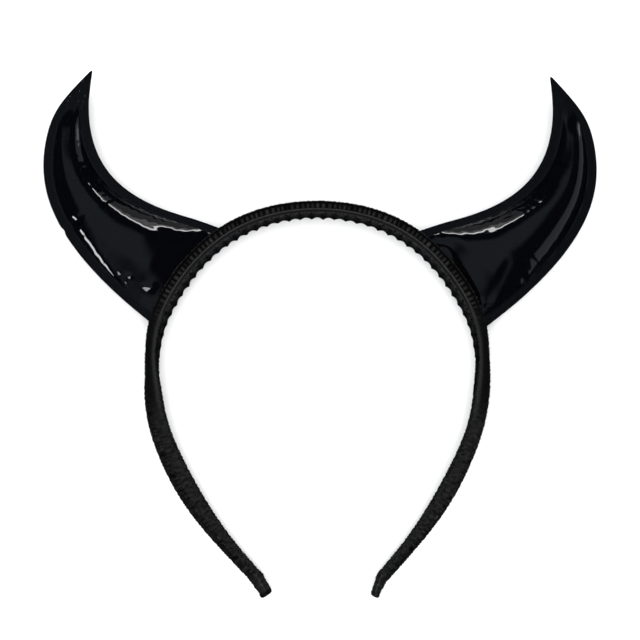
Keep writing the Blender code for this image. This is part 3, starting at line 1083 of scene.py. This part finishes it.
@dataclass
class TipWrap:
    """The ribbon's end, folded and glued round the end of one leg."""

    hoop: Hoop
    side: Side
    bend: float
    thickness: float
    taper: float
    # the painted light and shade at the wrap's end
    end_shading: float
    length: float = 7.8 * MM
    depth: float = 5.6 * MM
    roundness: float = 5.0
    bend_reach: float = 0.14
    crease_angle: float = 1.15
    crease_width: float = 0.14
    crease_height: float = 0.22 * MM
    pleat_height: float = 0.12 * MM
    pleat_pitches: tuple[float, ...] = (1.1 * MM, 1.9 * MM)
    pleat_slant: float = 0.4 * MM
    # painted light and shade of the wrap: its flat faces, and a painted highlight along its crease
    flat_shading: float = 0.20
    crease_highlight: float = 0.35
    end_range: tuple[float, float] = (0.72, 0.92)
    painted_wrinkle_share: float = 0.9
    cells: tuple[int, int] = (72, 72)
    rows: tuple[TipRow, ...] = (
        TipRow(-0.20, 1.04, 1.20, 0.00),
        TipRow(-0.08, 1.08, 1.22, 0.00),
        TipRow(0.05, 1.06, 1.18, 0.00),
        TipRow(0.18, 1.03, 1.04, 0.01),
        TipRow(0.34, 1.04, 0.98, 0.03),
        TipRow(0.62, 0.94, 0.92, -0.02),
        TipRow(0.88, 1.00, 0.86, 0.04),
        TipRow(0.96, 0.86, 0.76, 0.07),
        TipRow(1.00, 0.55, 0.50, 0.10),
        TipRow(1.01, 0.05, 0.05, 0.10),
    )

    def _angles(self, across: np.ndarray) -> np.ndarray:
        """The angle round the wrap of places counted in cells."""
        return 2 * np.pi * (across % self.cells[1]) / self.cells[1]

    def _crease(self, turn: np.ndarray) -> np.ndarray:
        """How near angles are to the lengthwise crease, from 0 to 1 on it."""
        return np.exp(-(((turn - self.crease_angle) / self.crease_width) ** 2))

    def _column(self, name: str, along: np.ndarray) -> np.ndarray:
        """One column of the rows, for places counted in cells."""
        index = along / self.cells[0] * (len(self.rows) - 1)
        return steady_curve(np.arange(len(self.rows)), [getattr(r, name) for r in self.rows], index)

    def surface(self, along: np.ndarray, across: np.ndarray) -> np.ndarray:
        """The wrap's points in the headband's plane, for places in cells."""
        end = self.hoop.stations(self.hoop.end(self.side))
        outward, through = end.outward[0], end.through[0]
        down = self.side.sign * np.cross(outward, through)
        share = self._column("along", along)
        straight = np.minimum(share, 0.0)
        bent = np.maximum(share, 0.0)
        angle = self.bend * fade(share, -self.bend_reach, self.bend_reach)[:, None]
        square = outward * np.cos(angle) - down * np.sin(angle)
        path = down * math.cos(self.bend) + outward * math.sin(self.bend)
        middle = end.middle[0] + self.length * (np.outer(straight, down) + np.outer(bent, path))
        turn = self._angles(across)
        cos, sin = np.cos(turn), np.sin(turn)
        corner = (np.abs(cos) ** self.roundness + np.abs(sin) ** self.roundness) ** (-1 / self.roundness)
        wider = 1 + self.taper * (0.5 - share)
        thickness = wider * self._column("thickness", along)
        depth = wider * self._column("depth", along)
        slanted = share * self.length + self.pleat_slant * sin
        pleats = ripple(slanted, self.pleat_pitches, phase=1.0 + self.side.sign)
        puff = self.crease_height * self._crease(turn) + self.pleat_height * pleats
        puff *= np.minimum(thickness, 1.0)
        x = cos * (corner * thickness * self.thickness / 2 + puff)
        x += self._column("lean", along) * self.thickness
        z = sin * (corner * depth * self.depth / 2 + puff)
        return middle + x[:, None] * square + z[:, None] * through

    def tone(self, along: np.ndarray, across: np.ndarray) -> np.ndarray:
        """The wrap's painted light and shade: a painted highlight on its crease, and at the end the
        painted shading that each side is given.
        """
        ending = fade(self._column("along", along), *self.end_range)
        tone = self.flat_shading + self.crease_highlight * self._crease(self._angles(across))
        return tone * (1 - ending) + self.end_shading * ending

    def build(self) -> None:
        """Makes the wrapped end."""
        side = self.side.value
        piece = rolled_grid(
            f"{side}_tip_fold",
            self.cells,
            self.surface,
            (self.length, 2 * (self.thickness + self.depth)),
            degrees=60.0,
            tone=self.tone,
            wrinkled=lambda along, across: np.full(len(along), self.painted_wrinkle_share),
        )
        finish = GrosgrainRibbon().build(f"black_grosgrain_{side}_tip")
        settle(piece, finish, "ribbon", f"{side}_tip_wrap")


@dataclass(frozen=True)
class HornSection:
    """A section of a horn.

    along is a share of each edge's straight line from seat to tip, concave and convex
    how far that edge bows from the line, and puff a share of the horn's.
    """

    along: float
    concave: float
    convex: float
    puff: float


@dataclass(frozen=True)
class Crease:
    """A crease in a stuffed face.

    The places are shares along the horn and across its stuffed part; reach and depth
    are in mm, and a depth below zero is a ridge.
    """

    start: tuple[float, float]
    end: tuple[float, float]
    reach: float
    depth: float


@dataclass(frozen=True)
class Nick:
    """A notch in a horn's convex edge; place and width are shares of the edge's length."""

    place: float
    width: float
    depth: float


@dataclass
class StuffedHorn:
    """One horn: two vinyl covers with bonded borders, and the fibre between them."""

    hoop: Hoop
    side: Side
    seat_shift: float
    phase: float
    creases: tuple[Crease, ...]
    base_puff: float
    worn_tip: float = 0.0
    nick: Nick | None = None
    seat_start: float = 0.0386
    seat_length: float = 0.0443
    length: float = 0.0839
    turn: float = math.radians(29.4)
    tip_width: float = 0.8 * MM
    border: float = 3.8 * MM
    border_most: float = 0.40
    puff: float = 8.5 * MM
    clearance: float = 0.3 * MM
    wall: float = 1.0 * MM
    seam_gap: float = 0.1 * MM
    fullness: float = 2.3
    bend_fade: float = 3.0
    pucker_height: float = 0.12 * MM
    pucker_onset: float = 0.5 * MM
    pucker_reach: float = 3.2 * MM
    pucker_pitches: tuple[float, ...] = (2.9 * MM, 4.3 * MM, 7.1 * MM)
    dent_height: float = 0.10 * MM
    dent_pitches: tuple[float, ...] = (17 * MM, 29 * MM)
    crease_taper: float = 0.6
    crease_onset: float = 1.5
    crease_most: float = 0.6
    border_wave: float = 0.03 * MM
    border_pitches: tuple[float, ...] = (9 * MM, 15 * MM)
    back_phase: float = 2.4
    seam_phase: float = 1.9
    flat_puff: float = 0.08
    worn_range: tuple[float, float] = (0.86, 0.92)
    along_cells: int = 240
    border_cells: int = 6
    stuffed_cells: int = 100
    filling_cells: tuple[int, int] = (60, 64)
    filling_gap: float = 0.5 * MM
    filling_start: float = 0.02
    filling_reach: float = 0.78
    filling_inset: float = 0.06
    filling_height: float = 0.8
    base_end: float = 0.05
    sections: tuple[HornSection, ...] = (
        HornSection(0.00, 0.000, 0.000, 0.388),
        HornSection(0.10, 0.061, 0.075, 0.80),
        HornSection(0.20, 0.128, 0.141, 0.97),
        HornSection(0.40, 0.226, 0.238, 1.00),
        HornSection(0.60, 0.249, 0.272, 0.84),
        HornSection(0.80, 0.178, 0.218, 0.34),
        HornSection(0.90, 0.103, 0.143, 0.00),
        HornSection(1.00, 0.000, 0.000, 0.00),
    )

    def __post_init__(self) -> None:
        """Works out the two edges' straight lines."""
        front = np.array((0.0, 0.0, 1.0))
        middle = self._seat_points(np.array([0.5]))[0]
        out = self.hoop.stations(self._seat(0.5)).outward[0]
        spin = np.array(Matrix.Rotation(self.side.sign * self.turn, 3, "Z"))
        reach = spin @ out
        square = self.side.sign * np.cross(reach, front)
        tip = middle + reach * self.length
        ends = self._seat_points(np.array([0.0, 1.0]))
        half = square * self.tip_width / 2
        self._edges = {"concave": (ends[0], tip - half), "convex": (ends[1], tip + half)}
        self._knots = [row.along for row in self.sections]
        first, *rest = [(row.along, row.puff) for row in self.sections]
        self._puffs = np.array([first, (self.base_end, self.base_puff), *rest])
        self.border_rise = self.clearance / 2 + self.wall

    def _seat(self, across: np.ndarray | float) -> np.ndarray | float:
        """How far round the hoop from the crown places on the seat lie."""
        start = self.seat_start + self.seat_shift
        return self.side.sign * (start + across * self.seat_length)

    def _seat_points(self, across: np.ndarray) -> np.ndarray:
        """Points of the seat, against the band's outer face."""
        return self.hoop.outer(self._seat(across), self.clearance)

    def _edge(self, name: str, along: np.ndarray) -> np.ndarray:
        """Points of one bowed edge of the horn."""
        start, end = self._edges[name]
        line = end - start
        aside = self.side.sign * np.cross(line, np.array((0.0, 0.0, 1.0)))
        bow = natural_spline(self._knots, [getattr(row, name) for row in self.sections], along)
        if self.nick and name == "convex":
            notch = np.exp(-(((along - self.nick.place) / self.nick.width) ** 2))
            bow = bow - self.nick.depth / np.linalg.norm(line) * notch
        return start + line * along[:, None] + aside * bow[:, None]

    def places(self, along: np.ndarray, across: np.ndarray) -> np.ndarray:
        """Points of the horn's middle plane.

        Args:
            along: shares from seat to tip.
            across: shares from the concave edge to the convex one.

        Returns:
            The points; the seat's bend fades out along the horn.
        """
        share = across[:, None]
        chord = self._edge("concave", along) * (1 - share) + self._edge("convex", along) * share
        ends = self._seat_points(np.array([0.0, 1.0]))
        bend = self._seat_points(across) - (ends[0] * (1 - share) + ends[1] * share)
        return chord + bend * ((1 - along) ** self.bend_fade)[:, None]

    def _width(self, along: np.ndarray) -> np.ndarray:
        """How wide the horn is from edge to edge."""
        return np.linalg.norm(self._edge("convex", along) - self._edge("concave", along), axis=1)

    def border_share(self, along: np.ndarray) -> np.ndarray:
        """How much of each section one bonded border takes."""
        return np.minimum(self.border / self._width(along), self.border_most)

    def stuffed_places(self, along: np.ndarray, share: np.ndarray) -> np.ndarray:
        """Points of the middle plane, share of the way across the stuffed part.

        Args:
            along: shares from seat to tip.
            share: shares across the stuffed part; below 0 and above 1 is border.

        Returns:
            The points.
        """
        border = self.border_share(along)
        inside = np.clip(share, 0.0, 1.0)
        return self.places(along, border + (1 - 2 * border) * inside + border * (share - inside))

    def _full(self, along: np.ndarray) -> np.ndarray:
        """How far the stuffing fills sections out, as a share of the horn's puff."""
        return steady_curve(*self._puffs.T, along)

    def _creases(self, points: np.ndarray) -> np.ndarray:
        """How far the creases sink the face at points of the middle plane."""
        sunk = np.zeros(len(points))
        for crease in self.creases:
            ends = np.array([crease.start, crease.end])
            start, end = self.stuffed_places(ends[:, 0], ends[:, 1])
            line = end - start
            share = np.clip((points - start) @ line / (line @ line), 0.0, 1.0)
            away = np.linalg.norm(points - start - share[:, None] * line, axis=1)
            taper = 1 - self.crease_taper * share
            sunk += MM * crease.depth * taper * np.exp(-((away / (MM * crease.reach)) ** 2))
        return sunk

    def heights(self, face: Face, along: np.ndarray, share: np.ndarray) -> np.ndarray:
        """How far a cover stands from the middle plane.

        Args:
            face: which cover.
            along: shares from seat to tip.
            share: shares across the stuffed part; below 0 and above 1 is border.

        Returns:
            The heights, all above zero.
        """
        inside = np.clip(share, 0.0, 1.0)
        bow = 1 - np.abs(2 * inside - 1) ** self.fullness
        rise = self.puff * self._full(along)
        points = self.stuffed_places(along, inside)
        from_seam = np.minimum(inside, 1 - inside) * self._width(along)
        phase = self.phase + (0.0 if face is Face.FRONT else self.back_phase)
        run = along * self.length
        seam = np.where(inside < 0.5, phase, phase + self.seam_phase)
        near = (1 - np.exp(-from_seam / self.pucker_onset)) * np.exp(-from_seam / self.pucker_reach)
        puckers = 2 * self.pucker_height * near * ripple(run, self.pucker_pitches, seam)
        dents = sum(ripple(points[:, axis], self.dent_pitches, phase + axis) for axis in (0, 1))
        room = np.clip(rise / self.puff, 0.0, 1.0)
        stand = rise * bow + room * (puckers + self.dent_height * dents * bow)
        if face is Face.FRONT:
            sunk = self._creases(points) * np.minimum(bow * self.crease_onset, 1.0)
            stand -= np.minimum(sunk, self.crease_most * stand)
        flat = self.border_wave * ripple(run, self.border_pitches, phase)
        return self.border_rise + np.maximum(stand, 0.0) + flat * (share != inside)

    def _shares(self, across: np.ndarray) -> np.ndarray:
        """Shares across the stuffed part for places counted in cells, borders outside 0 to 1."""
        stuffed = (across - self.border_cells) / self.stuffed_cells
        rounded = (1 - np.cos(np.pi * np.clip(stuffed, 0.0, 1.0))) / 2
        low = np.minimum(across / self.border_cells - 1, 0.0)
        high = np.maximum((across - self.border_cells - self.stuffed_cells) / self.border_cells, 0.0)
        return rounded + low + high

    def cover(self, face: Face) -> None:
        """Makes one vinyl cover with its wall and its flat border.

        Args:
            face: which cover.
        """
        cells = self.along_cells, 2 * self.border_cells + self.stuffed_cells

        def surface(along: np.ndarray, across: np.ndarray) -> np.ndarray:
            share = self._shares(across)
            points = self.stuffed_places(along / cells[0], share)
            points[:, 2] = face.sign * self.heights(face, along / cells[0], share)
            return points

        horn = f"{self.side.value}_horn_{face.value}"
        piece = laid_grid(f"{horn}_cover", cells, surface, (self.length, self.seat_length))
        along, across = cell_places(cells)
        share = self._shares(across)
        flat = 1 - fade(self._full(along / cells[0]), 0.0, self.flat_puff)
        add_attribute(piece, "bonded", np.maximum(flat, share != np.clip(share, 0.0, 1.0)))
        add_attribute(piece, "tip", self.worn_tip * fade(along / cells[0], *self.worn_range))
        if piece.data.polygons[len(piece.data.polygons) // 2].normal.z * face.sign < 0:
            in_edit_mode(piece, bpy.ops.mesh.flip_normals)
        wall = self.border_rise - self.seam_gap / 2
        apply_modifier(piece, "SOLIDIFY", thickness=wall, offset=-1.0, use_even_offset=False)
        smooth_by_angle(piece, 55.0)
        finish = PatentVinyl().build(f"black_patent_vinyl_{self.side.value}_{face.value}")
        settle(piece, finish, "vinyl", f"{horn}_panel")

    def filling(self) -> None:
        """Makes the loose fibre between the covers."""
        cells = self.filling_cells
        half = cells[1] // 2

        def surface(along: np.ndarray, across: np.ndarray) -> np.ndarray:
            step = across % cells[1]
            front = step <= half
            share = (1 - np.cos(np.pi * np.where(front, step, cells[1] - step) / half)) / 2
            share = self.filling_inset + (1 - 2 * self.filling_inset) * share
            place = self.filling_start + along / cells[0] * self.filling_reach
            points = self.stuffed_places(place, share)
            high, low = (self.heights(face, place, share) for face in Face)
            points[:, 2] = np.where(front, high, -low) * self.filling_height
            points[:, 2] -= np.where(front, self.filling_gap, -self.filling_gap)
            return points

        side = self.side.value
        cloth = self.length, self.seat_length
        piece = rolled_grid(f"{side}_horn_filling", cells, surface, cloth, degrees=60.0)
        finish = PolyesterFibre().build(f"white_polyester_fibre_{side}")
        settle(piece, finish, "stuffing", f"{side}_horn_padding")

    def build(self) -> None:
        """Makes the front cover, the back cover and the filling."""
        self.cover(Face.FRONT)
        self.cover(Face.BACK)
        self.filling()


@dataclass(frozen=True)
class SoftBox:
    """One studio light: a bright panel that faces the headband.

    Azimuth is counted in degrees from the right of the view, against the clock, and
    elevation from the floor.
    """

    name: str
    azimuth: float
    elevation: float
    distance: float
    size: tuple[float, float]
    radiance: float
    colour: tuple[float, float, float] = (1.0, 1.0, 1.0)
    seen: Seen = Seen.MIRRORED

    def build(self) -> None:
        """Adds the light, turned to the headband."""
        pick()
        azimuth, elevation = math.radians(self.azimuth), math.radians(self.elevation)
        level = math.cos(elevation)
        away = Vector((level * math.cos(azimuth), level * math.sin(azimuth), math.sin(elevation)))
        bpy.ops.object.light_add(type="AREA", location=away * self.distance)
        light = bpy.context.object
        light.name = self.name
        light.rotation_euler = away.to_track_quat("Z", "Y").to_euler()
        light.data.shape = "RECTANGLE"
        light.data.size, light.data.size_y = self.size
        light.data.energy = self.radiance * math.pi * self.size[0] * self.size[1]
        light.data.color = self.colour
        light.visible_diffuse = self.seen is Seen.LIGHTS
        light.visible_glossy = self.seen is Seen.MIRRORED


@dataclass(frozen=True)
class WindowEdge:
    """One soft edge of the reflected window: where along an axis it starts and is full."""

    axis: str
    start: float
    full: float


@dataclass
class Studio:
    """The pale floor, the lights and the camera."""

    floor_radius: float = 2.4
    cove_radius: float = 0.8
    wall_height: float = 2.2
    cove_steps: int = 10
    room_colour: str = "#101725"
    window_colour: str = "#656e79"
    camera_height: float = 0.70
    view_width: float = 0.2496
    sensor_width: float = 36.0
    view_centre: tuple[float, float] = (0.00105, 0.0234)
    window: tuple[WindowEdge, ...] = (
        WindowEdge("X", 0.30, 0.08),
        WindowEdge("X", -0.88, -0.70),
        WindowEdge("Y", 0.62, 0.40),
        WindowEdge("Y", -0.90, -0.55),
        WindowEdge("Z", -0.10, 0.15),
    )
    boxes: tuple[SoftBox, ...] = (
        SoftBox("overhead_fill", 0, 90, 2.2, (3.0, 3.0), 4.1, seen=Seen.LIGHTS),
        SoftBox("top_card", 88, 4, 0.65, (0.60, 0.26), 0.22),
        SoftBox("top_panel", 88, 16, 0.62, (0.56, 0.08), 0.8),
        SoftBox("top_lamp", 87, 22, 0.60, (0.52, 0.05), 8.0),
        SoftBox("right_panel", 3, 3, 0.80, (1.35, 0.48), 0.27, (0.88, 0.92, 1.0)),
        SoftBox("right_lamp", 31, 0, 0.70, (0.12, 0.16), 0.9, (0.9, 0.95, 1.0)),
        SoftBox("low_left_lamp", -153, -12, 0.60, (0.15, 0.06), 6.0, (0.95, 1.0, 1.0)),
        SoftBox("low_left_card", -131, 6, 0.60, (0.10, 0.22), 4.5, (0.95, 1.0, 1.0)),
    )

    def _floor(self) -> None:
        """Makes a round floor that curves up into a wall, away from the object."""
        pick()
        bpy.ops.mesh.primitive_circle_add(vertices=128, radius=self.floor_radius, fill_type="NGON")
        floor = bpy.context.object
        floor.name = "studio_floor"
        bpy.ops.object.mode_set(mode="EDIT")
        bpy.ops.mesh.select_mode(type="EDGE")
        radius, height = self.floor_radius, 0.0
        rises = [
            (math.sin(a) * self.cove_radius, (1 - math.cos(a)) * self.cove_radius)
            for a in np.linspace(0.0, math.pi / 2, self.cove_steps + 1)[1:]
        ]
        rises.append((rises[-1][0], self.wall_height))
        bpy.ops.mesh.select_all(action="SELECT")
        bpy.ops.mesh.region_to_loop()
        for out, up in rises:
            wider = (self.floor_radius + out) / radius
            bpy.ops.mesh.extrude_edges_move(TRANSFORM_OT_translate={"value": (0, 0, up - height)})
            bpy.ops.transform.resize(value=(wider, wider, 1.0))
            radius, height = self.floor_radius + out, up
        bpy.ops.mesh.select_all(action="SELECT")
        bpy.ops.mesh.normals_make_consistent(inside=True)
        bpy.ops.object.mode_set(mode="OBJECT")
        smooth_by_angle(floor, 60.0)
        floor.data.materials.append(BackdropPaper().build("white_backdrop_paper"))
        floor.visible_glossy = False

    def _camera(self) -> None:
        """Puts the camera square in front of the lying headband's plane, above the floor."""
        pick()
        x, y = self.view_centre
        place = LYING @ Vector((x, y, self.camera_height))
        bpy.ops.object.camera_add(location=place, rotation=LYING.to_euler())
        camera = bpy.context.object
        camera.name = "front_camera"
        camera.data.sensor_width = self.sensor_width
        camera.data.lens = self.sensor_width * self.camera_height / self.view_width
        camera.data.clip_start = 0.01
        bpy.context.scene.camera = camera

    def _room(self) -> None:
        """Gives the dark studio round the set, with a soft window that the gloss mirrors."""
        world = bpy.data.worlds.new("dark_studio")
        world.use_nodes = True
        graph = ShaderGraph(world.node_tree)
        axes = graph.add("SeparateXYZ", inputs={0: graph.coordinates("Generated")}).outputs
        inside = 1.0
        for edge in self.window:
            shade = graph.spread(axes[edge.axis], (edge.start, edge.full), (0.0, 1.0), smooth=True)
            inside = graph.maths("MULTIPLY", inside, shade)
        colour = graph.blend(inside, self.room_colour, self.window_colour)
        graph.feed(graph.tree.nodes["Background"], {"Color": colour})
        bpy.context.scene.world = world
        bpy.context.scene.view_settings.view_transform = "Standard"

    def build(self) -> None:
        """Sets the studio up."""
        self._camera()
        self._room()
        self._floor()
        for box in self.boxes:
            box.build()


LEFT_CREASES = (
    Crease((0.03, 0.93), (0.26, 0.74), 3.0, 0.9),
    Crease((0.035, 0.80), (0.06, 0.84), 1.5, -1.0),
    Crease((0.12, 0.84), (0.13, 0.86), 0.9, -0.5),
    Crease((0.00, 0.97), (0.02, 1.00), 0.6, 0.8),
    Crease((0.12, 0.20), (0.34, 0.14), 2.7, 0.5),
)
RIGHT_CREASES = (
    Crease((0.04, 0.88), (0.16, 0.68), 2.2, 0.8),
    Crease((0.02, 0.92), (0.05, 0.99), 0.7, 0.8),
    Crease((-0.03, 0.30), (-0.02, 0.95), 6.0, 3.2),
    Crease((0.20, 0.20), (0.40, 0.12), 1.8, 0.22),
    Crease((0.30, 0.10), (0.38, 0.16), 0.8, 0.4),
)


def main() -> None:
    """Builds the studio and the headband's pieces, in order."""
    logging.basicConfig(level=logging.INFO, format="%(name)s: %(message)s")
    Studio().build()
    hoop = Hoop()
    WoundBand(hoop).build()
    CombLining(hoop).build()
    # the left end gets painted shade, the right end painted light
    TipWrap(
        hoop, Side.LEFT, bend=math.radians(12.0), thickness=4.2 * MM, taper=-0.06, end_shading=0.03
    ).build()
    TipWrap(
        hoop, Side.RIGHT, bend=math.radians(20.0), thickness=2.85 * MM, taper=0.12, end_shading=0.26
    ).build()
    StuffedHorn(
        hoop,
        Side.LEFT,
        seat_shift=0.0,
        phase=0.4,
        creases=LEFT_CREASES,
        base_puff=0.60,
        worn_tip=1.0,
        nick=Nick(place=0.42, width=0.012, depth=0.5 * MM),
    ).build()
    StuffedHorn(
        hoop, Side.RIGHT, seat_shift=1.9 * MM, phase=1.7, creases=RIGHT_CREASES, base_puff=0.56
    ).build()


if __name__ == "__main__":
    main()
